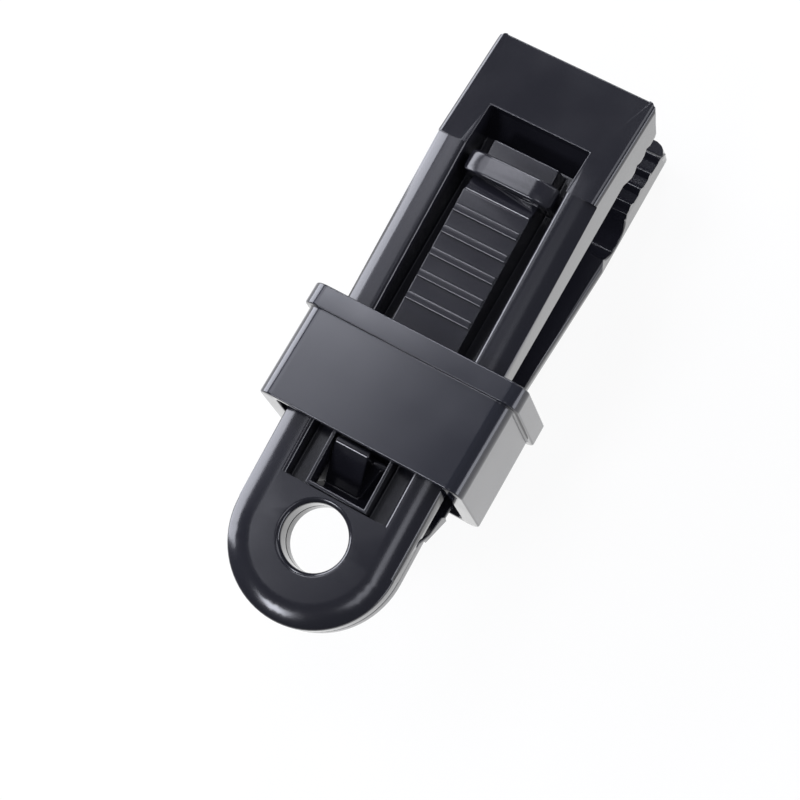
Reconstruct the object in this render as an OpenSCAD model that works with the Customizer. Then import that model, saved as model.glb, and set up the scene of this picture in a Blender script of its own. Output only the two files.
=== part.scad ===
// Tarp clip with a sliding lock collar.
// Millimetres. The eye's axis is Z through the origin, the seam between the two arms is at z = 0,
// and +Y points to the jaws. The clip is drawn with its jaws open.

/* [Arms] */
// Width of both arms
arm_w = 28.4; // [24:0.2:34]
// From the eye's axis to the tips of the jaws
reach = 84; // [76:1:96]
// Bore of the eye that takes a rope or a hook
eye_bore_d = 10.8; // [8:0.2:12]
// Rounding of the eye's rim, outside and underneath
eye_rim_r = 0.9; // [0.4:0.1:1.2]
// Angle that the upper arm turns through at the rocker to close the jaws
open_angle = 7.6; // [6:0.1:8.4]

/* [Upper jaw] */
// Thickness of the upper arm at the eye
upper_eye_t = 3.8; // [3:0.1:4.6]
// Fall of the upper arm's inner face towards the jaws, in degrees
upper_inner_fall = 5.1; // [4:0.1:6.5]
// Length of the sloping nose
nose_len = 19; // [16:0.5:22]
// Drop of the nose's top at its tip
nose_drop = 4.3; // [3:0.1:5]
// Width of the crowned outer part of the rails and of the eye's rim
crown_w = 4.2; // [2:0.1:4.6]
// How far the crown falls towards the arm's side
crown_drop = 1.3; // [0.6:0.1:1.6]
// Rounding of the rails' inner edges
rail_in_r = 0.9; // [0.3:0.1:1.2]
// Rounding of the nose's side edges
nose_edge_r = 1.0; // [0.4:0.1:1.6]
// Width of the channel between the rails
channel_w = 17.8; // [15.8:0.2:19]
// Thickness of the channel's floor
floor_t = 1.1; // [0.9:0.1:1.6]

/* [Tongue] */
// Width of the ribbed tongue
tongue_w = 11.7; // [10:0.1:13]
// Gap between the tongue's head and the rails, on each side
head_gap = 0.9; // [0.5:0.1:1.5]
// Distance from rib to rib
rib_pitch = 3.87; // [3:0.01:4.2]
// Width of one rib along the tongue
rib_w = 1.0; // [0.6:0.1:1.4]
// Height of a rib
rib_h = 0.45; // [0.2:0.05:0.6]
// Number of ribs
rib_count = 5; // [3:1:5]

/* [Lower jaw] */
// Thickness of the lower arm at the eye
lower_eye_t = 3.2; // [2.6:0.1:3.8]
// Fall of the lower arm's outer face from the eye to the bend, in degrees
lower_outer_fall = 16.1; // [15.4:0.1:16.8]
// Fall of the lower arm's inner face, in degrees
lower_inner_fall = 12.75; // [12.2:0.05:13.2]
// Fall of the lower arm's outer face along the jaw, in degrees
jaw_fall = 4.7; // [3:0.1:6]
// Rounding of the lower arm's outer edges
lower_edge_r = 1.3; // [0.8:0.1:1.8]
// Radius of the round pocket behind the teeth
pocket_r = 3.7; // [2.8:0.1:3.8]
// Depth of the pocket below the arm's inner face
pocket_depth = 2.6; // [1.6:0.1:2.6]
// How far the lower jaw's tip stays behind the upper one
lower_short = 1.8; // [0.5:0.1:2.4]

/* [Teeth] */
// Distance from tooth to tooth
tooth_pitch = 3.05; // [2.6:0.05:3.1]
// Height of a tooth
tooth_h = 0.85; // [0.5:0.05:1]
// Number of teeth on the lower jaw
tooth_count = 4; // [2:1:4]

/* [Lock collar] */
// From the eye's axis to the collar's front edge while the clip is open
collar_front = 35; // [33:0.5:37]
// Length of the collar along the arms, flange included
collar_len = 19.3; // [16:0.1:22]
// Thickness of the collar's side walls
collar_side = 3.2; // [2.4:0.1:4]
// Thickness of the collar's top and bottom walls
collar_wall = 1.3; // [1:0.1:2]
// Rounding of the collar's outer corners
collar_r = 2.7; // [2.3:0.1:4.2]
// Length of the flange at the collar's jaw end
flange_len = 3.7; // [2.5:0.1:5]
// How far the flange stands proud of the body's sides and bottom
flange_proud = 0.95; // [0.4:0.05:1.2]
// How far the flange stands proud of the body's top
flange_rise = 0.5; // [0.3:0.05:1.2]
// Side clearance between the arms and the collar, on each side
side_gap = 0.9; // [0.4:0.05:1.2]
// Travel of the collar from the open to the closed clip
collar_travel = 20.5; // [18:0.5:21]

/* [Hidden] */
$fn = 96;

// Overrun of every cut past the face that it opens
over = 1;
// Rounding of the jaw tips' corners, seen from above
upper_tip_r = 1.4;
lower_tip_r = 2.3;
// Small chamfers and roundings of inner corners
inner_r = 0.8;
// Half of the arm's width, which is the radius of the eye's end
half_w = arm_w/2;

// Rocker: two half-round ribs on the lower arm, seated in grooves of the upper arm
rocker_r = 0.6;
rocker_gap = 0.05;
rocker_land = 1.5;
rocker_y = eye_bore_d/2 + rocker_land;

// Latch: the post of the lower arm that snaps into the window of the upper arm
frame_wall = 0.6;
window_inset = 0.35;
window_w = tongue_w - 2*(frame_wall + window_inset);
window_len = 9.2;
window_y = rocker_y + rocker_r;
latch_gap = 0.35;
hook_reach = 0.5;
hook_t = 1;
ramp_share = 0.62;
ramp_w = window_w*ramp_share;

// Upper arm: its inner face steps away from the seam in front of the rocker
relief_len = 7.5;
relief_drop = 0.5;
relief_y = rocker_y + relief_len;
nose_y = reach - nose_len;
nose_fall = atan(nose_drop/nose_len);
crown_r = (crown_w^2 + crown_drop^2)/(2*crown_drop);
// The biting face is a step below the inner face
teeth_back = 13;
teeth_y = reach - teeth_back;
teeth_step = 2;
bite_fall = 4.75;
// The tip's end face leans back towards the teeth
tip_lean = 2.8;

// Channel between the rails, from just behind the eye's rim into the nose
rim_land = 0.4;
channel_y0 = eye_bore_d/2 + eye_rim_r + rim_land;
channel_in_nose = 7.2;
channel_y1 = nose_y + channel_in_nose;
// Hollow that leads the channel's floor up to its front end, drawn in steps of this angle
front_r = 3.4;
front_step = 10;

// Tongue, counted back from its head, which ends where the nose begins
head_len = 3.7;
head_y0 = nose_y - head_len;
head_w = channel_w - 2*head_gap;
head_r = 1.3;
head_end_r = 1.8;
saddle_len = 2.7;
saddle_lead = 1.2;
saddle_drop = 1.6;
plateau_y1 = head_y0 - saddle_len;
rib_margin = 3.27;
last_rib_y = plateau_y1 - rib_margin;
tab_len = 2.8;
tab_drop = 2.4;
tongue_drop = 0.5;

// Lower arm: a knee behind the eye, a straight handle, a bend and the jaw
knee_len = 4.5;
knee_drop = 4.8;
knee_t = 3.3;
knee_y = rocker_y + rocker_r + knee_len;
knee_z = -lower_eye_t - knee_drop;
root_drop = 3.1;
strip_len = 3.2;
strip_t = 2.6;
strip_y = knee_y + strip_len;
bend_back = 25;
bend_y = reach - bend_back;
jaw_round = 2.9;
jaw_tip_y = reach - lower_short;
land_back = 15;
land_y = reach - land_back;
pocket_y = land_y - inner_r - pocket_r;
bite_gap = 0.05;
first_tooth = 1.35;
// Core recess under the handle
core_margin = 8;
core_w = channel_w - 2*head_gap;
core_depth = 1.1;
core_y0 = knee_y + core_margin;
core_len = bend_y - core_y0 - core_margin/4;

// The collar's own frame: its front edge, on the inside of its top wall
collar_lean = 6.8;
collar_flare = 3;
collar_top_gap = 0.6;
collar_bottom_gap = 0.3;
collar_z = upper_eye_t + collar_top_gap;
window_r = 1.2;
collar_in_w = arm_w + 2*side_gap;
collar_w = collar_in_w + 2*collar_side;

// Height of the lower arm's outer face under a place y before the bend
function lower_outer_z(y) = knee_z - (y - knee_y)*tan(lower_outer_fall);
// Height of the lower arm's inner face before the pocket
function lower_inner_z(y) =
    lower_outer_z(strip_y) + strip_t - (y - strip_y)*tan(lower_inner_fall);
// Height of the lower arm's outer face along the jaw
function jaw_outer_z(y) = lower_outer_z(bend_y) - (y - bend_y)*tan(jaw_fall);
// Heights of the upper arm's inner face and of its biting face
function upper_inner_z(y) = -relief_drop - (y - relief_y)*tan(upper_inner_fall);
function upper_bite_z(y) = upper_inner_z(teeth_y) - teeth_step - (y - teeth_y)*tan(bite_fall);
// The back end of the upper biting face, where it is when the jaws are closed
bite_y = teeth_y + teeth_step;
closed_y = rocker_y + (bite_y - rocker_y)*cos(open_angle) + upper_bite_z(bite_y)*sin(open_angle);
closed_z = upper_bite_z(bite_y)*cos(open_angle) - (bite_y - rocker_y)*sin(open_angle);
// Height of the lower biting face, which the upper one meets when the jaws are closed
function land_at(y) = closed_z - bite_gap - (y - closed_y)*tan(bite_fall + open_angle);
// Clear height inside the collar's front edge, from the upper arm's top to the lower arm's face
collar_in_h = (collar_z - lower_outer_z(collar_front) + collar_bottom_gap)
    /(cos(collar_lean) + sin(collar_lean)*tan(lower_outer_fall));

// Outline of an arm from above: the eye's round end and rounded jaw corners
module arm_plan(end, r) {
    circle(r = half_w);
    translate([-half_w, 0]) square([arm_w, end - r]);
    translate([-half_w + r, 0]) square([arm_w - 2*r, end]);
    for (side = [-1, 1]) translate([side*(half_w - r), end - r]) circle(r = r);
}

// A profile in the Y-Z plane, drawn with x = y and y = z, extruded across the arm
module across(w) {
    translate([-w/2, 0, 0]) rotate([90, 0, 90]) linear_extrude(w) children();
}

// Corner strip that rounds a straight edge along +Y: the corner is at the origin, facing +X and +Z
module edge_cutter(len, r) {
    rotate([90, 0, 180]) mirror([1, 0, 0]) linear_extrude(len) difference() {
        translate([-r, -r]) square(r + over);
        translate([-r, -r]) circle(r = r);
    }
}

// Ring that rounds the top edge of the eye's end
module eye_cutter(r) {
    rotate([0, 0, 180]) rotate_extrude(angle = 180) difference() {
        translate([half_w - r, -r]) square(r + over);
        translate([half_w - r, -r]) circle(r = r);
    }
}

// What the crown takes off an edge at the origin: a flat arc that starts level, crown_w from the edge
module crown_cut() {
    difference() {
        translate([-crown_w, -crown_drop]) square([crown_w + over, crown_drop + over]);
        translate([-crown_w, -crown_r]) circle(r = crown_r);
    }
}

// The crown along a straight edge that runs to +Y, and round the eye's end
module crown_cutter(len) {
    rotate([90, 0, 180]) mirror([1, 0, 0]) linear_extrude(len) crown_cut();
}

module eye_crown() {
    rotate([0, 0, 180]) rotate_extrude(angle = 180) translate([half_w, 0]) crown_cut();
}

// Rounding of the bore's rim, for a rim that faces +Z at z = 0
module rim_cutter() {
    rotate_extrude() difference() {
        translate([0, -eye_rim_r]) square([eye_bore_d/2 + eye_rim_r, eye_rim_r + over]);
        translate([eye_bore_d/2 + eye_rim_r, -eye_rim_r]) circle(r = eye_rim_r);
    }
}

// Side profile of the upper arm
module upper_side() {
    tip_y = reach - tip_lean;
    polygon([
        [-half_w - over, 0],
        [rocker_y, 0],
        [relief_y, -relief_drop],
        [teeth_y, upper_inner_z(teeth_y)],
        [bite_y, upper_bite_z(bite_y)],
        [tip_y - inner_r, upper_bite_z(tip_y - inner_r)],
        [tip_y, upper_bite_z(tip_y) + inner_r],
        [reach, upper_eye_t - nose_drop],
        [nose_y, upper_eye_t],
        [-half_w - over, upper_eye_t]
    ]);
}

// Side profile of the channel between the rails, above its floor
module channel_side() {
    polygon([
        [channel_y0, upper_eye_t + over],
        [channel_y0, floor_t],
        [relief_y, floor_t - relief_drop],
        for (a = [0:front_step:90]) [
            channel_y1 - front_r + front_r*sin(a),
            upper_inner_z(channel_y1 - front_r) + floor_t + front_r*(1 - cos(a))
        ],
        [channel_y1, upper_eye_t + over]
    ]);
}

// Side profile of the tongue: ribbed plateau, saddle, head and end tab
module tongue_side() {
    top = upper_eye_t - tongue_drop;
    head_y1 = head_y0 + head_len;
    root = upper_inner_z(head_y1 + tab_len) + floor_t/2;
    polygon([
        [window_y + window_len, 0],
        [window_y + window_len, top],
        [plateau_y1, top],
        [plateau_y1 + saddle_lead, top - saddle_drop/2],
        [head_y0, top - saddle_drop],
        [head_y1, top - saddle_drop],
        [head_y1, upper_eye_t - tab_drop],
        [head_y1 + tab_len, upper_eye_t - tab_drop],
        [head_y1 + tab_len, root]
    ]);
}

// Rectangle with four rounded corners, centred
module round_rect(w, h, r) {
    square([w - 2*r, h], center = true);
    square([w, h - 2*r], center = true);
    for (x = [-1, 1]) for (y = [-1, 1])
        translate([x*(w/2 - r), y*(h/2 - r)]) circle(r = r);
}

// Head of the tongue: a bar across the channel, rounded like a bar of soap above its foot
module tongue_head() {
    head_h = upper_eye_t - upper_inner_z(head_y0) - floor_t/2;
    translate([0, head_y0 + head_len/2, upper_eye_t - head_h]) intersection() {
        linear_extrude(head_h) round_rect(head_w, head_len, head_r);
        across(head_w + 2*over) {
            translate([0, head_h - head_len/2]) round_rect(head_len, head_len, head_r);
            translate([-head_len/2, 0]) square([head_len, head_h - head_len/2]);
        }
        translate([0, head_len/2 + over, head_h]) rotate([90, 0, 0])
            linear_extrude(head_len + 2*over) capped_section(head_w, head_h, head_end_r);
    }
}

// V-shaped bar across the jaw, whose ridge stands h above the origin and whose foot is sunk
module tooth_bar(w, h) {
    across(w) polygon([[-h - over, -over], [h + over, -over], [0, h]]);
}

// Places of the lower jaw's tooth crests at rest
function tooth_y(k) = land_y + first_tooth + k*tooth_pitch;
// The same crests seen from the upper jaw, which turns by open_angle to close
function notch_y(k) = rocker_y + (tooth_y(k) - rocker_y)*cos(open_angle)
    - land_at(tooth_y(k))*sin(open_angle);

module upper_jaw() {
    color("#1b1c1f") difference() {
        union() {
            difference() {
                intersection() {
                    translate([0, 0, -reach/2]) linear_extrude(reach) arm_plan(reach, upper_tip_r);
                    across(arm_w + 2*over) upper_side();
                }
                across(channel_w) channel_side();
                for (side = [-1, 1]) translate([side*half_w, 0, upper_eye_t])
                    mirror([side < 0 ? 1 : 0, 0, 0]) {
                        crown_cutter(nose_y);
                        translate([0, nose_y, 0]) rotate([-nose_fall, 0, 0])
                            edge_cutter(2*nose_len, nose_edge_r);
                    }
                translate([0, 0, upper_eye_t]) eye_crown();
                for (side = [0, 1]) mirror([side, 0, 0])
                    translate([-channel_w/2, channel_y0, upper_eye_t])
                        edge_cutter(nose_y - channel_y0, rail_in_r);
            }
            across(tongue_w) tongue_side();
            tongue_head();
            for (k = [0:rib_count - 1])
                translate([-tongue_w/2 + frame_wall/2, last_rib_y - k*rib_pitch - rib_w/2, 0])
                    cube([tongue_w - frame_wall, rib_w, upper_eye_t - tongue_drop + rib_h]);
            translate([-window_w/2 - frame_wall, window_y - frame_wall, 0])
                cube([window_w + 2*frame_wall, window_len + 2*frame_wall, upper_eye_t]);
        }
        // Eye
        translate([0, 0, -over]) cylinder(d = eye_bore_d, h = upper_eye_t + 2*over);
        translate([0, 0, upper_eye_t]) rim_cutter();
        // Window for the latch post, with a ledge that its hook catches
        translate([-window_w/2, window_y, -over])
            cube([window_w, window_len - hook_reach - latch_gap, upper_eye_t + 2*over]);
        translate([-window_w/2, window_y, upper_eye_t - hook_t - 2*latch_gap])
            cube([window_w, window_len, upper_eye_t]);
        // Rocker groove
        translate([-half_w - over, rocker_y, 0]) rotate([0, 90, 0])
            cylinder(r = rocker_r + rocker_gap, h = arm_w + 2*over);
        // Notches for the lower jaw's teeth
        for (k = [0:tooth_count - 1]) translate([0, notch_y(k), upper_bite_z(notch_y(k))])
            rotate([-bite_fall, 0, 0]) tooth_bar(arm_w + 2*over, tooth_h);
    }
}

// Side profile of the lower arm
module lower_side() {
    back_y = land_y - inner_r;
    difference() {
        polygon([
            [-half_w - over, 0],
            [-half_w - over, -lower_eye_t],
            [rocker_y + rocker_r, -lower_eye_t],
            [knee_y, knee_z],
            [bend_y, lower_outer_z(bend_y)],
            [jaw_tip_y, jaw_outer_z(jaw_tip_y)],
            [jaw_tip_y, land_at(jaw_tip_y)],
            [back_y + inner_r, land_at(back_y + inner_r)],
            [back_y - inner_r, lower_inner_z(back_y - inner_r)],
            [strip_y, lower_inner_z(strip_y)],
            [knee_y, knee_z + knee_t],
            [rocker_y + 2*rocker_r + inner_r, -root_drop],
            [rocker_y, 0]
        ]);
        translate([pocket_y, lower_inner_z(pocket_y) - pocket_depth + pocket_r])
            circle(r = pocket_r);
        // Rounded lower corner of the tip
        translate([jaw_tip_y - jaw_round, jaw_outer_z(jaw_tip_y - jaw_round) + jaw_round])
            difference() {
                translate([0, -2*jaw_round]) square([jaw_round + over, 2*jaw_round]);
                circle(r = jaw_round);
            }
    }
}

// Latch post: a ramp that rises towards the jaws and ends in a hook
module latch_post() {
    y0 = window_y + latch_gap;
    y1 = window_y + window_len - hook_reach - 3*latch_gap;
    top = upper_eye_t - latch_gap;
    x0 = -window_w/2 + latch_gap;
    foot = lower_inner_z(strip_y);
    translate([x0 + ramp_w/2, 0, 0]) across(ramp_w) polygon([
        [y0, -lower_eye_t],
        [y0 + hook_t, -lower_eye_t/2],
        [y1 - hook_t/2, top],
        [y1 + hook_reach, top],
        [y1 + hook_reach, top - hook_t],
        [y1, top - hook_t - hook_reach],
        [y1, foot]
    ]);
    translate([x0 + ramp_w - over/2, y1 - hook_t, foot])
        cube([window_w - ramp_w - 2*latch_gap + over/2, hook_t, -foot]);
}

module lower_jaw() {
    color("#17181b") difference() {
        union() {
            difference() {
                intersection() {
                    translate([0, 0, -reach/2]) linear_extrude(reach)
                        arm_plan(jaw_tip_y, lower_tip_r);
                    across(arm_w + 2*over) lower_side();
                }
                // Rounded outer edges of the eye's end, the handle and the jaw
                mirror([0, 0, 1]) translate([0, 0, lower_eye_t]) eye_cutter(lower_edge_r);
                for (side = [0, 1]) mirror([side, 0, 0]) {
                    translate([half_w, 0, -lower_eye_t]) mirror([0, 0, 1])
                        edge_cutter(rocker_y + rocker_r, lower_edge_r);
                    translate([half_w, knee_y, knee_z]) rotate([-lower_outer_fall, 0, 0])
                        mirror([0, 0, 1])
                            edge_cutter((bend_y - knee_y)/cos(lower_outer_fall), lower_edge_r);
                    translate([half_w, bend_y, lower_outer_z(bend_y)]) rotate([-jaw_fall, 0, 0])
                        mirror([0, 0, 1]) edge_cutter(reach, lower_edge_r);
                }
                // Core recess under the handle
                translate([0, core_y0, lower_outer_z(core_y0)]) rotate([-lower_outer_fall, 0, 0])
                    translate([-core_w/2, 0, -over]) cube([core_w, core_len, core_depth + over]);
            }
            latch_post();
            // Rocker ribs beside the latch window
            for (side = [0, 1]) mirror([side, 0, 0])
                translate([window_w/2 + 2*frame_wall, rocker_y, 0]) rotate([0, 90, 0])
                    cylinder(r = rocker_r, h = half_w - window_w/2 - 2*frame_wall - lower_edge_r);
            // Teeth
            for (k = [0:tooth_count - 1]) translate([0, tooth_y(k), land_at(tooth_y(k))])
                rotate([-bite_fall - open_angle, 0, 0]) tooth_bar(arm_w, tooth_h);
        }
        translate([0, 0, -lower_eye_t - over])
            cylinder(d = eye_bore_d, h = lower_eye_t + 2*over);
        mirror([0, 0, 1]) translate([0, 0, lower_eye_t]) rim_cutter();
    }
}

// Cross-section of a box with two rounded upper corners: its top is at y = 0
module capped_section(w, h, r) {
    translate([-w/2, -h]) square([w, h - r]);
    translate([-w/2 + r, -h]) square([w - 2*r, h]);
    for (side = [-1, 1]) translate([side*(w/2 - r), -r]) circle(r = r);
}

// Bar along -Y whose top is flat and whose bottom falls by collar_flare towards the back
module flared_bar(w, h, r, y0, len) {
    tall = 2*h;
    intersection() {
        translate([0, y0, 0]) rotate([90, 0, 0]) linear_extrude(len) capped_section(w, tall, r);
        translate([0, 0, -h]) rotate([collar_flare, 0, 0]) mirror([0, 0, 1]) rotate([90, 0, 0])
            translate([0, 0, -len]) linear_extrude(3*len) capped_section(w, tall, r);
    }
}

module lock_collar() {
    body_h = collar_in_h + 2*collar_wall;
    flange_h = body_h + flange_rise + flange_proud;
    color("#202226") translate([0, collar_front, collar_z]) rotate([-collar_lean, 0, 0])
        difference() {
            union() {
                translate([0, 0, collar_wall])
                    flared_bar(collar_w, body_h, collar_r, 0, collar_len);
                translate([0, 0, collar_wall + flange_rise])
                    flared_bar(collar_w + 2*flange_proud, flange_h, collar_r, 0, flange_len);
            }
            flared_bar(collar_in_w, collar_in_h, window_r, over, collar_len + 2*over);
        }
}

upper_jaw();
lower_jaw();
lock_collar();
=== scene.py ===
"""Looks of a tarp clip: black mouldings with rounded edges, a pale floor, soft lamps and a camera."""

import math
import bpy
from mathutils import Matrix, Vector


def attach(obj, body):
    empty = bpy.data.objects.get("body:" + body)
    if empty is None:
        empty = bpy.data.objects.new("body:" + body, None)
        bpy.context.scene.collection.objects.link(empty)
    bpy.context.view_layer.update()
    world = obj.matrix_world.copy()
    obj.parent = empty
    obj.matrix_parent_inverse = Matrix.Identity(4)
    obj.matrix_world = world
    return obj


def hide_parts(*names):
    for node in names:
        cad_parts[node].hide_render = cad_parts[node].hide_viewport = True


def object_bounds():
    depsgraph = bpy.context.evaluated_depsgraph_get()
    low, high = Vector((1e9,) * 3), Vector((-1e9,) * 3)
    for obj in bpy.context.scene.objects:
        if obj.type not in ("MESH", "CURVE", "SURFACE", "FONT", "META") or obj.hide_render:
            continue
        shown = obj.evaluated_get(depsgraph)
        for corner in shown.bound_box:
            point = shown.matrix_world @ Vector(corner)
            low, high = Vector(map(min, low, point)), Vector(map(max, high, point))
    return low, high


bl_info = {
    "name": "Tarp Clip Looks",
    "version": (1, 0, 0),
    "blender": (4, 5, 0),
    "location": "3D View > Sidebar > Tarp Clip",
    "description": "Dresses the packed tarp clip: moulded plastic, rounded edges, studio and camera",
    "category": "Object",
}

import bmesh
import bpy
from mathutils import Matrix, Vector
from mathutils.bvhtree import BVHTree
from mathutils.geometry import intersect_point_line

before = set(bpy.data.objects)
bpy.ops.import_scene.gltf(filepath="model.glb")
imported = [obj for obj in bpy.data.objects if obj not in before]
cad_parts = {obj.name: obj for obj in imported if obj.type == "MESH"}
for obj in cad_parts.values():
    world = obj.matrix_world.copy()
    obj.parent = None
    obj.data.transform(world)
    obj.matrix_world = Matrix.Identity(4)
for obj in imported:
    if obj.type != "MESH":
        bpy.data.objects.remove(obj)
CAD_BOX = [list(corner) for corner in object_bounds()]

MM = 0.001
# Corners that lie nearer to each other than this are one
MERGE = 0.001*MM


def linear(hex_colour):
    """sRGB hex to the linear RGBA that a shader takes."""
    parts = [int(hex_colour[k:k + 2], 16)/255 for k in (1, 3, 5)]
    return [p/12.92 if p <= 0.04045 else ((p + 0.055)/1.055)**2.4 for p in parts] + [1.0]


class ClipLooks(bpy.types.PropertyGroup):
    """Sizes and colours of the mouldings."""
    edge_round: bpy.props.FloatProperty(
        name="Edge rounding", description="Rounding of the mouldings' edges and inner corners",
        default=0.28*MM, min=0.05*MM, max=0.5*MM, precision=5, unit="LENGTH")
    collar_round: bpy.props.FloatProperty(
        name="Collar rounding", description="Rounding of the collar's edges",
        default=0.3*MM, min=0.05*MM, max=0.6*MM, precision=5, unit="LENGTH")
    rib_rounding: bpy.props.FloatProperty(
        name="Rib rounding", description="Rounding of the tongue ribs' long edges",
        default=0.4*MM, min=0.1*MM, max=0.45*MM, precision=5, unit="LENGTH")
    arm_colour: bpy.props.FloatVectorProperty(
        name="Arms", description="Colour of the plastic of both arms",
        default=linear("#1c1c22"), size=4, min=0, max=1, subtype="COLOR")
    collar_colour: bpy.props.FloatVectorProperty(
        name="Collar", description="Colour of the lock collar's plastic",
        default=linear("#202128"), size=4, min=0, max=1, subtype="COLOR")


class ClipStage(bpy.types.PropertyGroup):
    """Floor, lamps and camera."""
    floor_colour: bpy.props.FloatVectorProperty(
        name="Floor", description="Colour of the floor",
        default=linear("#f4f4f4"), size=4, min=0, max=1, subtype="COLOR")
    floor_size: bpy.props.FloatProperty(
        name="Floor size", description="Side of the square floor",
        default=3.0, min=1, max=6, unit="LENGTH")
    floor_gap: bpy.props.FloatProperty(
        name="Floor below", description="Distance from the clip's lowest point to the floor",
        default=1.0*MM, min=0, max=0.05, precision=4, unit="LENGTH")
    camera_distance: bpy.props.FloatProperty(
        name="Camera distance", description="From the camera to the plane of the eye's axis",
        default=0.400774, min=0.2, max=2, precision=6, unit="LENGTH")
    focal_px: bpy.props.FloatProperty(
        name="Focal length", description="Focal length in pixels of the photograph",
        default=2595.4, min=500, max=9000)
    side_tilt: bpy.props.FloatProperty(
        name="Side tilt", description="How far the camera stands round to the clip's right side",
        default=math.radians(16.5), subtype="ANGLE")
    end_tilt: bpy.props.FloatProperty(
        name="End tilt", description="How far the camera stands towards the eye's end",
        default=math.radians(2.49), subtype="ANGLE")
    roll: bpy.props.FloatProperty(
        name="Roll", description="Turn of the clip in the picture",
        default=math.radians(28.61), subtype="ANGLE")


def add_node(tree, kind, settings=None, links=None):
    """Adds a node to a tree: settings are its attributes or input values, links its inputs' sources."""
    node = tree.nodes.new(kind)
    for key, value in (settings or {}).items():
        if isinstance(key, str) and hasattr(node, key):
            setattr(node, key, value)
        else:
            node.inputs[key].default_value = value
    for key, source in (links or {}).items():
        tree.links.new(source, node.inputs[key])
    return node


def placed(name, data):
    """A new object in the scene, at the origin."""
    obj = bpy.data.objects.new(name, data)
    bpy.context.scene.collection.objects.link(obj)
    return obj


def baked(obj, name):
    """A plain mesh object of an object's evaluated shape. The object itself is removed."""
    shapes = bpy.context.evaluated_depsgraph_get()
    mesh = bpy.data.meshes.new_from_object(obj.evaluated_get(shapes), depsgraph=shapes)
    old = obj.data
    bpy.data.objects.remove(obj)
    bpy.data.meshes.remove(old)
    mesh.name = name
    return placed(name, mesh)


# The moulded skin in mm: how far apart its flow waves and its grain are, and the grain's depth
FLOW_PITCH, GRAIN_PITCH, GRAIN_DEPTH = 9, 0.5, 0.0012
# The flow noise's usual low and high, and how much smoother and rougher the gloss is there
FLOW_LOW, FLOW_HIGH, SMOOTHER, ROUGHER = 0.3, 0.7, 0.02, 0.03
# The plastic's refraction, and the roughness and the flow waves' depth in mm of its two finishes
ABS_IOR = 1.54
ARM_FINISH, COLLAR_FINISH = (0.17, 0.004), (0.15, 0.006)


def gloss_plastic(name, colour, roughness, ripple):
    """Injection-moulded ABS from a polished tool: a near-black base under a clear, slightly uneven
    gloss. The unevenness is the skin of the moulding: long soft flow waves and a fine grain, which is
    drawn coarser than the real one of some hundredths of a millimetre so that it shows."""
    material = bpy.data.materials.new(name)
    material.use_nodes = True
    tree = material.node_tree
    shader = tree.nodes["Principled BSDF"]
    shader.inputs["Base Color"].default_value = colour
    shader.inputs["IOR"].default_value = ABS_IOR
    shader.inputs["Metallic"].default_value = 0
    place = add_node(tree, "ShaderNodeTexCoord").outputs["Object"]
    flow = add_node(tree, "ShaderNodeTexNoise",
                    {"Scale": 1/(FLOW_PITCH*MM), "Detail": 2.0, "Roughness": 0.5}, {"Vector": place})
    grain = add_node(tree, "ShaderNodeTexNoise",
                     {"Scale": 1/(GRAIN_PITCH*MM), "Detail": 3.0, "Roughness": 0.6}, {"Vector": place})
    # Gloss varies a little between the flow waves, as it does beside a gate
    gloss = add_node(tree, "ShaderNodeMapRange",
                     {"From Min": FLOW_LOW, "From Max": FLOW_HIGH,
                      "To Min": roughness - SMOOTHER, "To Max": roughness + ROUGHER},
                     {"Value": flow.outputs["Fac"]})
    tree.links.new(gloss.outputs["Result"], shader.inputs["Roughness"])
    waves = add_node(tree, "ShaderNodeBump", {"Strength": 1.0, "Distance": ripple*MM},
                     {"Height": flow.outputs["Fac"]})
    skin = add_node(tree, "ShaderNodeBump", {"Strength": 1.0, "Distance": GRAIN_DEPTH*MM},
                    {"Height": grain.outputs["Fac"], "Normal": waves.outputs["Normal"]})
    tree.links.new(skin.outputs["Normal"], shader.inputs["Normal"])
    return material


# Faces that meet at more than this angle have a sharp edge between them
SHARP = math.radians(30)
# Two edges whose corner is wider than this carry on round a curve, and leave each other room
CARRIES_ON = math.radians(140)
# How near an edge stands to another that takes room from it, in widths of the rounding, and the sine
# of the least angle between it and the way to the other
NEAR, BESIDE = 2.3, 0.6
# Two points that are nearer than this, in metres, are the same
SAME_POINT = 1e-9
# The part of the distance to a neighbour that a rounding may take, and its least useful share
ROOM_SHARE, LEAST_SHARE = 0.42, 0.12
# A rounding has left the surface when it is farther off than this share of its width, and has turned
# over when the cosine of its turn from the surface is below this
OFF_SHARE, TURNED = 0.4, 0.3
# Smaller and narrower faces don't count, because the sides of a step of some hundredths of a
# millimetre lie too near its top to be told from a fold
FOLD_AREA, FOLD_WIDTH = 0.03*MM*MM, 0.02*MM
# How often the rounding is tried, its faces, and how much a large face outweighs a small one in shading
TRIES, ROUND_STEPS, FLAT_WEIGHT = 8, 3, 80


def nearest_on(edge, point):
    """The point of an edge that is nearest to a point."""
    start, end = (v.co for v in edge.verts)
    place, share = intersect_point_line(point, start, end)
    return start if share <= 0 else end if share >= 1 else place


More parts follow.
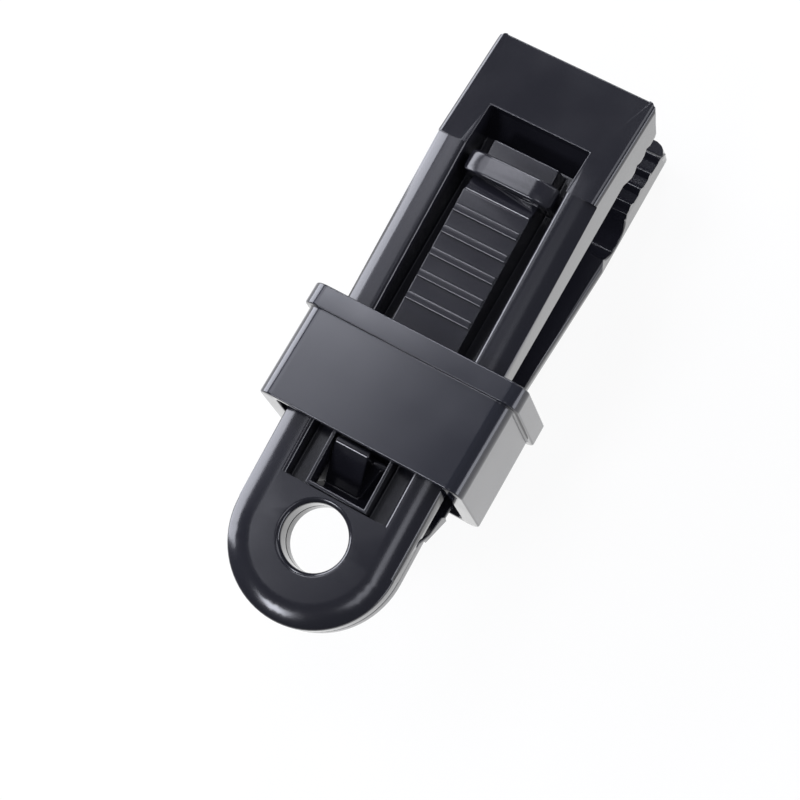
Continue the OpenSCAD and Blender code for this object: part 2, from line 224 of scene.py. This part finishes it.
def edge_shares(shape, width):
    """For each sharp edge, the share of the full rounding that has room beside its neighbours, and
    each sharp edge's middle."""
    sharp = [e for e in shape.edges if len(e.link_faces) == 2 and e.calc_face_angle(0) > SHARP]
    marked = set(sharp)
    middle = {e: (e.verts[0].co + e.verts[1].co)/2 for e in sharp}
    shares = {}
    for edge in sharp:
        room = width
        along = edge.verts[1].co - edge.verts[0].co
        for vert in edge.verts:
            away = edge.other_vert(vert).co - vert.co
            for other in marked.intersection(vert.link_edges) - {edge}:
                side = other.other_vert(vert).co - vert.co
                turn = away.angle(side, 0)
                if turn < CARRIES_ON:
                    room = min(room, ROOM_SHARE*side.length*math.sin(min(turn, math.pi/2)))
        for other in sharp:
            reach = (edge.calc_length() + other.calc_length())/2 + NEAR*width
            if (middle[other] - middle[edge]).length > reach or set(other.verts) & set(edge.verts):
                continue
            for point in (middle[edge], edge.verts[0].co, edge.verts[1].co):
                gap = nearest_on(other, point) - point
                beside = gap.length < SAME_POINT or math.sin(gap.angle(along, 0)) > BESIDE
                if gap.length < NEAR*width and beside:
                    room = min(room, ROOM_SHARE*gap.length)
        shares[edge.index] = room/width if room > LEAST_SHARE*width else 0.0
    return shares, middle


def folds(mesh, surface, width):
    """Places where the rounding left the moulding's surface or turned over."""
    places = [v.co.copy() for v in mesh.vertices if surface.find_nearest(v.co)[3] > OFF_SHARE*width]
    for face in mesh.polygons:
        normal = surface.find_nearest(face.center)[1]
        if face.area > FOLD_AREA and normal.dot(face.normal) < TURNED:
            corners = [mesh.vertices[k].co.copy() for k in face.vertices]
            if face.area > FOLD_WIDTH*max((a - b).length for a in corners for b in corners):
                places += corners + [face.center.copy()]
    return places


def rounded_copy(node, name, width, material, reshape=None):
    """The CAD node's shape with its sharp edges and inner corners rounded, as a mesh that replaces it.
    An edge beside a place where the rounding would fold stays sharp."""
    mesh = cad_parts[node].data.copy()
    obj = placed(name, mesh)
    shape = bmesh.new()
    shape.from_mesh(mesh)
    bmesh.ops.remove_doubles(shape, verts=shape.verts, dist=MERGE)
    if reshape:
        reshape(shape)
    shape.edges.index_update()
    surface = BVHTree.FromBMesh(shape)
    shares, middle = edge_shares(shape, width)
    middle = {e.index: (e, place) for e, place in middle.items()}
    shape.to_mesh(mesh)
    mesh.materials.clear()
    mesh.materials.append(material)
    for face in mesh.polygons:
        face.use_smooth = True
        face.material_index = 0
    layer = mesh.attributes.new("bevel_weight_edge", "FLOAT", "EDGE")
    bevel = obj.modifiers.new("edges", "BEVEL")
    bevel.width = width
    bevel.segments = ROUND_STEPS
    bevel.limit_method = "WEIGHT"
    bevel.use_clamp_overlap = False
    bevel.loop_slide = False
    for attempt in range(TRIES):
        for index in range(len(mesh.edges)):
            layer.data[index].value = shares.get(index, 0.0)
        mesh.update()
        view = bpy.context.evaluated_depsgraph_get()
        found = folds(obj.evaluated_get(view).data, surface, width)
        if not found:
            break
        for index, (edge, _) in middle.items():
            if any((nearest_on(edge, place) - place).length < (1 + attempt)*width for place in found):
                shares[index] = 0.0
    else:
        raise RuntimeError(f"{name}: the rounding still folds")
    for index, share in shares.items():
        mesh.edges[index].use_edge_sharp = share == 0
    shape.free()
    flat = obj.modifiers.new("flats", "WEIGHTED_NORMAL")
    flat.weight = FLAT_WEIGHT
    flat.keep_sharp = True
    return baked(obj, name)


def arc_fall(across, radius):
    """How far a round edge of this radius has fallen at a distance across it."""
    return radius - math.sqrt(max(radius**2 - min(max(across, 0), radius)**2, 0))


def corners_of(faces):
    """The faces' corners, each once."""
    return list(dict.fromkeys(v for f in faces for v in f.verts))


def cut_across(shape, faces, across):
    """Cuts faces along the plane at a distance across the clip, in mm."""
    edges = dict.fromkeys(e for f in faces for e in f.edges)
    bmesh.ops.bisect_plane(shape, geom=[*corners_of(faces), *edges, *faces], dist=MERGE,
                           plane_co=(across*MM, 0, 0), plane_no=(1, 0, 0))


# The tongue's head in mm: its foot, middle, half length, half width, top and the solid's two roundings
HEAD_FOOT, HEAD_Y, HEAD_HALF_LEN, HEAD_HALF_W, HEAD_TOP = 1.7, 63.15, 1.85, 8.0, 3.8
HEAD_SOLID_EDGE, HEAD_SOLID_END = 1.3, 1.8
# How far outside these a face of the head may still lie, along and across, and its least height
HEAD_SLACK, HEAD_SIDE_SLACK, HEAD_LEAST = 0.01, 0.05, 0.1
# Its looks: the edge's rounding, where the drooping ends begin, their radius, and the top's lean
HEAD_EDGE, HEAD_FLAT, HEAD_DROOP, HEAD_LEAN = 0.5, 3.9, 7.4, (0.026, -0.066)
# How far out from the flat part the top is cut, so that the ends can droop
HEAD_CUTS = (0, 0.8, 1.6)


def shape_head(shape):
    """Gives the tongue's head its flat, slightly leaning top with tight edges and long drooping ends."""
    def head_faces():
        return [f for f in shape.faces
                if all(abs(v.co.x) < (HEAD_HALF_W + HEAD_SIDE_SLACK)*MM
                       and v.co.z > (HEAD_FOOT - HEAD_SLACK)*MM
                       and abs(v.co.y - HEAD_Y*MM) < (HEAD_HALF_LEN + HEAD_SLACK)*MM for v in f.verts)]
    for side in (-1, 1):
        for cut in HEAD_CUTS:
            cut_across(shape, head_faces(), side*(HEAD_FLAT + cut))
    for vert in corners_of(head_faces()):
        x, y, z = vert.co/MM
        y -= HEAD_Y
        solid = HEAD_TOP - max(arc_fall(abs(y) - HEAD_HALF_LEN + HEAD_SOLID_EDGE, HEAD_SOLID_EDGE),
                               arc_fall(abs(x) - HEAD_HALF_W + HEAD_SOLID_END, HEAD_SOLID_END))
        top = HEAD_TOP - arc_fall(abs(x) - HEAD_FLAT, HEAD_DROOP) - max(
            arc_fall(abs(y) - HEAD_HALF_LEN + HEAD_EDGE, HEAD_EDGE),
            arc_fall(abs(x) - HEAD_HALF_W + HEAD_EDGE, HEAD_EDGE))
        top += HEAD_LEAN[0]*x + HEAD_LEAN[1]*y
        stretch = (top - HEAD_FOOT)/max(solid - HEAD_FOOT, HEAD_LEAST)
        vert.co.z = (HEAD_FOOT + (z - HEAD_FOOT)*stretch)*MM


# The nose in mm: half its width, how far out its front face begins, and its top's fall to the front
NOSE_HALF_W, NOSE_FRONT, NOSE_FALL = 14.2, 79.0, 4.3/19
# Its front's faces look forward at least this much
NOSE_FORWARD = 0.8
# Its looks: the rounding of its two front corners, as seen from above, what the edge loses there, the
# distance over which it does, and the shares of the rounding where the front is cut
NOSE_CORNER, NOSE_TRIM, NOSE_TRIM_RAMP = 1.0, 0.06, 0.6
NOSE_CUT_SHARES = (0, 0.4, 0.7, 0.9)


def shape_nose(shape):
    """Rounds the nose's two front corners, fully at the top and less and less down to the bite."""
    shape.normal_update()
    flat = NOSE_HALF_W - NOSE_CORNER

    def front_faces():
        return [f for f in shape.faces
                if f.normal.y > NOSE_FORWARD and f.calc_center_median().y > NOSE_FRONT*MM]
    for side in (-1, 1):
        for share in NOSE_CUT_SHARES:
            cut_across(shape, front_faces(), side*(flat + share*NOSE_CORNER))
    verts = corners_of(front_faces())
    low, high = min(v.co.z for v in verts), max(v.co.z for v in verts)
    for vert in verts:
        across = abs(vert.co.x)/MM - flat
        trim = NOSE_TRIM*min(max(across/NOSE_TRIM_RAMP, 0), 1)
        back = (arc_fall(across, NOSE_CORNER) + trim)*(vert.co.z - low)/(high - low)
        vert.co.y -= back*MM
        vert.co.z += back*NOSE_FALL*MM


def shape_upper(shape):
    """The looks of the upper arm's head and nose."""
    shape_head(shape)
    shape_nose(shape)


# The tongue's ribs in mm, as the solid has them: how many, first centre, pitch and their plateau
RIB_COUNT, RIB_FIRST_Y, RIB_PITCH, RIB_FLOOR = 5, 39.85, 3.87, 3.3
# Their looks cover the solid's ribs closely: length, width, height and the length of the round ends
RIB_LENGTH, RIB_WIDTH, RIB_HEIGHT, RIB_END = 11.3, 1.5, 0.47, 0.5
# How finely a rib is drawn along and round its edges, and the least thickness share at its ends
RIB_POINTS, RIB_ROUND_POINTS, RIB_TIP_SHARE = 97, 6, 0.1


def rib_tree():
    """Node tree of the tongue's ribs: a bar with round edges and round ends, repeated along the tongue."""
    tree = bpy.data.node_groups.new("tongue_ribs", "GeometryNodeTree")
    kinds = {"Count": "NodeSocketInt", "Material": "NodeSocketMaterial"}
    for name in ("Count", "Pitch", "Length", "Width", "Height", "Rounding", "End", "Material"):
        tree.interface.new_socket(name=name, in_out="INPUT",
                                  socket_type=kinds.get(name, "NodeSocketFloat"))
    tree.interface.new_socket(name="Ribs", in_out="OUTPUT", socket_type="NodeSocketGeometry")
    given = tree.nodes.new("NodeGroupInput").outputs

    def calc(operation, first, second=None, clamp=False):
        links = {k: v for k, v in ((0, first), (1, second)) if isinstance(v, bpy.types.NodeSocket)}
        values = {k: v for k, v in ((0, first), (1, second)) if isinstance(v, (int, float))}
        return add_node(tree, "ShaderNodeMath", {"operation": operation, "use_clamp": clamp, **values},
                        links).outputs[0]

    # The bar's path, along X, whose radius shrinks at both ends as a quarter circle does
    size = add_node(tree, "ShaderNodeCombineXYZ", {"Y": 1, "Z": 1}, {"X": given["Length"]})
    line = add_node(tree, "GeometryNodeCurvePrimitiveLine", {"Start": (-0.5, 0, 0), "End": (0.5, 0, 0)})
    long_line = add_node(tree, "GeometryNodeTransform", None,
                         {"Geometry": line.outputs[0], "Scale": size.outputs[0]})
    path = add_node(tree, "GeometryNodeResampleCurve", {"Count": RIB_POINTS},
                    {"Curve": long_line.outputs[0]})
    along = tree.nodes.new("GeometryNodeSplineParameter").outputs["Length"]
    share = calc("DIVIDE", calc("MINIMUM", along, calc("SUBTRACT", given["Length"], along)),
                 given["End"], clamp=True)
    quarter_circle = calc("SQRT", calc("MULTIPLY", share, calc("SUBTRACT", 2.0, share)))
    tapered = add_node(tree, "GeometryNodeSetCurveRadius", None,
                       {"Curve": path.outputs[0],
                        "Radius": calc("MAXIMUM", quarter_circle, RIB_TIP_SHARE)})
    upright = add_node(tree, "GeometryNodeSetCurveNormal", {"mode": "Z_UP"},
                       {"Curve": tapered.outputs[0]})
    # Its section, whose lower half is sunk in the plateau
    section = add_node(tree, "GeometryNodeCurvePrimitiveQuadrilateral", None,
                       {"Width": given["Width"], "Height": calc("MULTIPLY", given["Height"], 2.0)})
    rounded = add_node(tree, "GeometryNodeFilletCurve", {"mode": "POLY", "Count": RIB_ROUND_POINTS},
                       {"Curve": section.outputs[0], "Radius": given["Rounding"]})
    bar = add_node(tree, "GeometryNodeCurveToMesh", {"Fill Caps": True},
                   {"Curve": upright.outputs[0], "Profile Curve": rounded.outputs[0]})
    step = add_node(tree, "ShaderNodeCombineXYZ", None, {"Y": given["Pitch"]})
    places = add_node(tree, "GeometryNodeMeshLine", None,
                      {"Count": given["Count"], "Offset": step.outputs[0]})
    bars = add_node(tree, "GeometryNodeInstanceOnPoints", None,
                    {"Points": places.outputs[0], "Instance": bar.outputs[0]})
    real = add_node(tree, "GeometryNodeRealizeInstances", None, {"Geometry": bars.outputs[0]})
    dressed = add_node(tree, "GeometryNodeSetMaterial", None,
                       {"Geometry": real.outputs[0], "Material": given["Material"]})
    add_node(tree, "NodeGroupOutput", None, {"Ribs": dressed.outputs[0]})
    return tree


def tongue_ribs(name, rounding, material):
    """The ribs as one plain mesh that stands on the tongue."""
    obj = placed(name, bpy.data.meshes.new(name))
    modifier = obj.modifiers.new("ribs", "NODES")
    tree = rib_tree()
    values = {"Count": RIB_COUNT, "Pitch": RIB_PITCH*MM, "Length": RIB_LENGTH*MM,
              "Width": RIB_WIDTH*MM, "Height": RIB_HEIGHT*MM, "End": RIB_END*MM,
              "Rounding": rounding, "Material": material}
    modifier.node_group = tree
    for socket in tree.interface.items_tree:
        if socket.in_out == "INPUT":
            modifier[socket.identifier] = values[socket.name]
    ribs = baked(obj, name)
    ribs.data.transform(Matrix.Translation((0, RIB_FIRST_Y*MM, RIB_FLOOR*MM)))
    for face in ribs.data.polygons:
        face.use_smooth = True
    return ribs


# The slope at the channel's front in mm: its foot and its head as (y, z), its half width, and how far
# it is sunk into the floor and the front
SLOPE_FOOT, SLOPE_HEAD, SLOPE_HALF_W, SLOPE_SUNK = (68.3, -4.3), (72.3, -0.5), 8.95, 0.4


def channel_slope(name, material):
    """The plane slope that closes the channel's front, over the solid's round hollow."""
    (foot_y, foot_z), (head_y, head_z) = SLOPE_FOOT, SLOPE_HEAD
    section = [(foot_y, foot_z), (head_y, head_z), (head_y + SLOPE_SUNK, head_z),
               (head_y + SLOPE_SUNK, foot_z - SLOPE_SUNK), (foot_y, foot_z - SLOPE_SUNK)]
    count = len(section)
    verts = [(side*SLOPE_HALF_W*MM, y*MM, z*MM) for side in (-1, 1) for y, z in section]
    faces = [(k, (k + 1) % count, (k + 1) % count + count, k + count) for k in range(count)]
    faces += [tuple(range(count)), tuple(reversed(range(count, 2*count)))]
    mesh = bpy.data.meshes.new(name)
    mesh.from_pydata(verts, [], faces)
    shape = bmesh.new()
    shape.from_mesh(mesh)
    bmesh.ops.recalc_face_normals(shape, faces=shape.faces)
    shape.to_mesh(mesh)
    shape.free()
    mesh.materials.append(material)
    return placed(name, mesh)


class CLIP_OT_upper_jaw(bpy.types.Operator):
    """Dress the upper arm with its channel, tongue and eye"""
    bl_idname = "clip.upper_jaw"
    bl_label = "Upper jaw"

    def execute(self, context):
        looks = context.scene.clip_looks
        plastic = gloss_plastic("moulded_abs_upper", looks.arm_colour, *ARM_FINISH)
        piece = rounded_copy("upper_jaw", "upper_jaw_moulding", looks.edge_round, plastic, shape_upper)
        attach(piece, "upper_arm")
        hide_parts("upper_jaw")
        for extra in (tongue_ribs("tongue_thumb_ribs", looks.rib_rounding, plastic),
                      channel_slope("channel_front_slope", plastic)):
            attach(extra, "upper_arm")
        return {"FINISHED"}


class CLIP_OT_lower_jaw(bpy.types.Operator):
    """Dress the lower arm with its latch post, pocket and teeth"""
    bl_idname = "clip.lower_jaw"
    bl_label = "Lower jaw"

    def execute(self, context):
        looks = context.scene.clip_looks
        plastic = gloss_plastic("moulded_abs_lower", looks.arm_colour, *ARM_FINISH)
        piece = rounded_copy("lower_jaw", "lower_jaw_moulding", looks.edge_round, plastic)
        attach(piece, "lower_arm")
        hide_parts("lower_jaw")
        return {"FINISHED"}


class CLIP_OT_lock_collar(bpy.types.Operator):
    """Dress the sliding lock collar"""
    bl_idname = "clip.lock_collar"
    bl_label = "Lock collar"

    def execute(self, context):
        looks = context.scene.clip_looks
        plastic = gloss_plastic("moulded_abs_collar", looks.collar_colour, *COLLAR_FINISH)
        piece = rounded_copy("lock_collar", "lock_collar_moulding", looks.collar_round, plastic)
        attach(piece, "collar")
        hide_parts("lock_collar")
        return {"FINISHED"}


# The floor's matt sheet, how bright the clip's gloss sees it, and the share of its white that the
# camera and the gloss see whatever shadow lies on it
PAPER_ROUGHNESS, FLOOR_IN_GLOSS, WHITE_SHARE = 0.9, 1.45, 0.92
# The dim room round the clip, the white that the camera sees instead, and the lamps' faint blue
DIM_ROOM_COLOUR, DIM_ROOM_LEVEL = "#e8ecf4", 0.18
WHITE = "#ffffff"
LAMP_COLOUR = "#f2f4ff"
# Each soft box: name, direction from the clip, degrees across and along the clip, distance in metres
# and radiance. Two long ones stand close beside the clip and the others hang over it.
SOFT_BOXES = [
    ("upper_left_low", (-0.347, 0.22, 0.912), (6.3, 6.4), 2.0, 2.8),
    ("upper_left_high", (-0.347, 0.352, 0.869), (6.6, 9.8), 2.0, 7.5),
    ("upper_left_far", (-0.54, 0.295, 0.788), (19.7, 15.5), 2.0, 3.3),
    ("left_bar", (-0.60, 0.10, 0.79), (35, 8.1), 2.0, 1.4),
    ("over_eye", (-0.34, -0.05, 0.94), (5.0, 9.2), 2.0, 2.2),
    ("right_bar", (0.22, -0.17, 0.96), (12, 21), 2.0, 3.6),
    ("over_arm", (0.05, 0.105, 0.993), (33, 6.4), 2.0, 0.6),
    ("jaw_end", (0.30, 0.60, 0.742), (31.6, 24.6), 2.0, 2.2),
    ("jaw_end_strip", (-0.29, 0.78, 0.55), (13, 11), 2.0, 17.0),
    ("eye_end_strip", (-0.29, -0.62, 0.73), (13, 12), 2.0, 17.0),
    ("left_side", (-0.96, 0.10, 0.28), (36, 60), 0.5, 8.0),
    ("right_side", (0.98, 0.10, 0.20), (20, 60), 0.5, 4.5),
]
# The photograph's width in pixels, in which the focal length is given
PHOTO_PX = 800
# The camera's film width in mm, and the nearest distance that it sees, in metres
FILM_WIDTH, NEAREST_SEEN = 36, 0.01
# Where the eye's axis at the seam lies beside the camera's own axis, right and up, in mm
EYE_RIGHT, EYE_UP = -12.402, -21.675


def soft_lamp(name, target, direction, angles, distance, radiance):
    """A rectangular soft box that faces the target, with its height along the clip."""
    outward = Vector(direction).normalized()
    along = (Vector((0, 1, 0)) - outward*outward.y).normalized()
    light = bpy.data.lights.new(name, "AREA")
    light.shape = "RECTANGLE"
    light.size, light.size_y = (2*distance*math.tan(math.radians(angle)/2) for angle in angles)
    light.energy = radiance*math.pi*light.size*light.size_y
    light.color = linear(LAMP_COLOUR)[:3]
    lamp = placed(name, light)
    lamp.location = target + outward*distance
    lamp.rotation_euler = Matrix((along.cross(outward), along, outward)).transposed().to_euler()


class CLIP_OT_stage(bpy.types.Operator):
    """Lay the pale floor, hang the soft lamps and set the camera"""
    bl_idname = "clip.stage"
    bl_label = "Floor, lamps and camera"

    def execute(self, context):
        stage = context.scene.clip_stage
        self.floor(stage)
        self.lamps()
        self.room(context)
        self.camera(context, stage)
        return {"FINISHED"}

    def floor(self, stage):
        """A pale matt sheet, which the camera and glossy surfaces see as white."""
        half = stage.floor_size/2
        height = CAD_BOX[0][2] - stage.floor_gap
        mesh = bpy.data.meshes.new("floor")
        corners = [(-half, -half, height), (half, -half, height),
                   (half, half, height), (-half, half, height)]
        mesh.from_pydata(corners, [], [(0, 1, 2, 3)])
        obj = placed("floor", mesh)
        material = bpy.data.materials.new("matt_paper_floor")
        material.use_nodes = True
        tree = material.node_tree
        paper = tree.nodes["Principled BSDF"]
        paper.inputs["Base Color"].default_value = stage.floor_colour
        paper.inputs["Roughness"].default_value = PAPER_ROUGHNESS
        rays = add_node(tree, "ShaderNodeLightPath")
        level = add_node(tree, "ShaderNodeMapRange", {"To Min": 1.0, "To Max": FLOOR_IN_GLOSS},
                         {"Value": rays.outputs["Is Glossy Ray"]})
        white = add_node(tree, "ShaderNodeEmission", None, {"Strength": level.outputs[0]})
        seen = add_node(tree, "ShaderNodeMath", {"operation": "MAXIMUM"},
                        {0: rays.outputs["Is Camera Ray"], 1: rays.outputs["Is Glossy Ray"]})
        share = add_node(tree, "ShaderNodeMath", {"operation": "MULTIPLY", 1: WHITE_SHARE},
                         {0: seen.outputs[0]})
        mix = add_node(tree, "ShaderNodeMixShader", None,
                       {0: share.outputs[0], 1: paper.outputs[0], 2: white.outputs[0]})
        output = next(n for n in tree.nodes if n.type == "OUTPUT_MATERIAL")
        tree.links.new(mix.outputs[0], output.inputs["Surface"])
        mesh.materials.append(material)

    def lamps(self):
        """The soft boxes round the clip."""
        low, high = (Vector(corner) for corner in CAD_BOX)
        for name, direction, angles, distance, radiance in SOFT_BOXES:
            soft_lamp(name, (low + high)/2, direction, angles, distance, radiance)

    def room(self, context):
        """A dim room, which the camera sees as white."""
        world = context.scene.world or bpy.data.worlds.new("room")
        context.scene.world = world
        world.use_nodes = True
        tree = world.node_tree
        tree.nodes.clear()
        rays = add_node(tree, "ShaderNodeLightPath")
        room = add_node(tree, "ShaderNodeBackground",
                        {"Color": linear(DIM_ROOM_COLOUR), "Strength": DIM_ROOM_LEVEL})
        white = add_node(tree, "ShaderNodeBackground", {"Color": linear(WHITE), "Strength": 1.0})
        mix = add_node(tree, "ShaderNodeMixShader", None,
                       {0: rays.outputs["Is Camera Ray"], 1: room.outputs[0], 2: white.outputs[0]})
        output = add_node(tree, "ShaderNodeOutputWorld", None, {"Surface": mix.outputs[0]})
        output.is_active_output = True

    def camera(self, context, stage):
        """The photograph's view: the clip's own axes, turned by two tilts and a roll."""
        data = bpy.data.cameras.new("camera")
        data.sensor_width = FILM_WIDTH
        data.lens = stage.focal_px/PHOTO_PX*data.sensor_width
        data.clip_start = NEAREST_SEEN
        camera = placed("camera", data)
        # In the camera's frame the picture's down is -y, so the tilts and the roll change sign
        turn = (Matrix.Rotation(-stage.roll, 3, "Z") @ Matrix.Rotation(-stage.end_tilt, 3, "X")
                @ Matrix.Rotation(-stage.side_tilt, 3, "Y"))
        eye = Vector((EYE_RIGHT*MM, EYE_UP*MM, -stage.camera_distance))
        camera.rotation_euler = turn.transposed().to_euler()
        camera.location = -(turn.transposed() @ eye)
        context.scene.camera = camera
        context.scene.view_settings.view_transform = "Standard"


class CLIP_PT_panel(bpy.types.Panel):
    """Lists the clip's pieces and its stage"""
    bl_label = "Tarp Clip"
    bl_idname = "CLIP_PT_panel"
    bl_space_type = "VIEW_3D"
    bl_region_type = "UI"
    bl_category = "Tarp Clip"

    def draw(self, context):
        for group in (context.scene.clip_looks, context.scene.clip_stage):
            for key in group.__annotations__:
                self.layout.prop(group, key)
        for operator in OPERATORS:
            self.layout.operator(operator.bl_idname)


OPERATORS = (CLIP_OT_upper_jaw, CLIP_OT_lower_jaw, CLIP_OT_lock_collar, CLIP_OT_stage)
CLASSES = (ClipLooks, ClipStage) + OPERATORS + (CLIP_PT_panel,)


def register():
    for cls in CLASSES:
        bpy.utils.register_class(cls)
    bpy.types.Scene.clip_looks = bpy.props.PointerProperty(type=ClipLooks)
    bpy.types.Scene.clip_stage = bpy.props.PointerProperty(type=ClipStage)


def unregister():
    del bpy.types.Scene.clip_stage
    del bpy.types.Scene.clip_looks
    for cls in reversed(CLASSES):
        bpy.utils.unregister_class(cls)


def main():
    register()
    bpy.ops.clip.upper_jaw()
    bpy.ops.clip.lower_jaw()
    bpy.ops.clip.lock_collar()
    bpy.ops.clip.stage()


if __name__ == "__main__":
    main()
